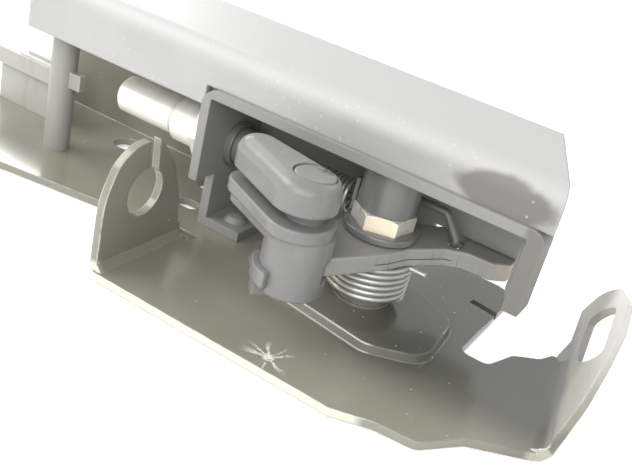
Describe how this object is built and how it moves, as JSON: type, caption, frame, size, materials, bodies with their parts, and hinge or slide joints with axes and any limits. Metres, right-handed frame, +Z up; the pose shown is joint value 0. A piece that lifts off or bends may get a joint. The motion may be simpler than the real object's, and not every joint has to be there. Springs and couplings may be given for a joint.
{
  "type": "seat lock actuator",
  "caption": "Cable-worked seat lock actuator: steel base plate with a sprung lever on a pivot stud, a cable knuckle, a sliding lock pin and a cover.",
  "frame": {"origin": "Where the lever's pivot axis meets the underside of the base plate.", "axes": "+X runs along the plate to the striker mouth and end flange, +Y to the rear wall, +Z up out of the plate towards the cover."},
  "size_m": [0.196, 0.0893, 0.051],
  "materials": {
    "black_steel": "glossy black dip coat, scuffed",
    "lever_steel": "black coat with burnished cut edges",
    "black_washer": "black oxide",
    "bracket_steel": "black coat, worn edges",
    "black_plastic": "satin moulded plastic",
    "zinc": "zinc plate, fine scratches",
    "spring_steel": "bright spring wire with light rust tint",
    "bright_pin": "bright ground steel",
    "grey_cover": "satin grey, rubbed edges",
    "guide_plastic": "grey moulded plastic"
  },
  "bodies": {
    "housing": {"base_plate": "black_steel", "pivot_stud": "zinc", "spring_spool": "black_steel", "return_spring": "spring_steel", "pivot_washer": "black_washer", "pivot_nut": "zinc", "spacer_sleeve": "black_washer", "inner_bracket": "bracket_steel", "foot_rivet_left": "bracket_steel", "foot_rivet_back": "bracket_steel", "pin_guide": "bright_pin", "plunger_spring": "spring_steel", "cover": "grey_cover", "left_post": "guide_plastic", "guide_beam": "guide_plastic"},
    "lever": {"lever_arm": "lever_steel", "lever_bushing": "zinc", "knuckle_pin": "zinc"},
    "knuckle": {"knuckle_base": "black_plastic", "knuckle_cap": "black_plastic", "cap_plug": "black_plastic", "cable_hook": "black_plastic"},
    "lock_pin_body": {"lock_pin": "bright_pin", "link_rod": "black_washer"}
  },
  "joints": [
    {"name": "lever_pivot", "type": "hinge", "parent": "housing", "child": "lever", "pos_m": [0, 0, 0.0196], "axis": [0, 0, -1], "range_deg": [0, 20], "stiffness_Nm_per_rad": 0.2, "springref_deg": -28.65},
    {"name": "knuckle_swivel", "type": "hinge", "parent": "lever", "child": "knuckle", "pos_m": [-0.0068, -0.0258, 0.0196], "axis": [0, 0, 1], "range_deg": [0, 20.5]},
    {"name": "lock_pin_slide", "type": "slide", "parent": "housing", "child": "lock_pin_body", "axis": [1, 0, 0], "range_m": [0, 0.0037], "deforming": ["plunger_spring"]}
  ],
  "couplings": [
    {"joint": "knuckle_swivel", "follows": "lever_pivot", "ratio": 1},
    {"joint": "lock_pin_slide", "follows": "lever_pivot", "m_per_rad": 0.0104}
  ]
}
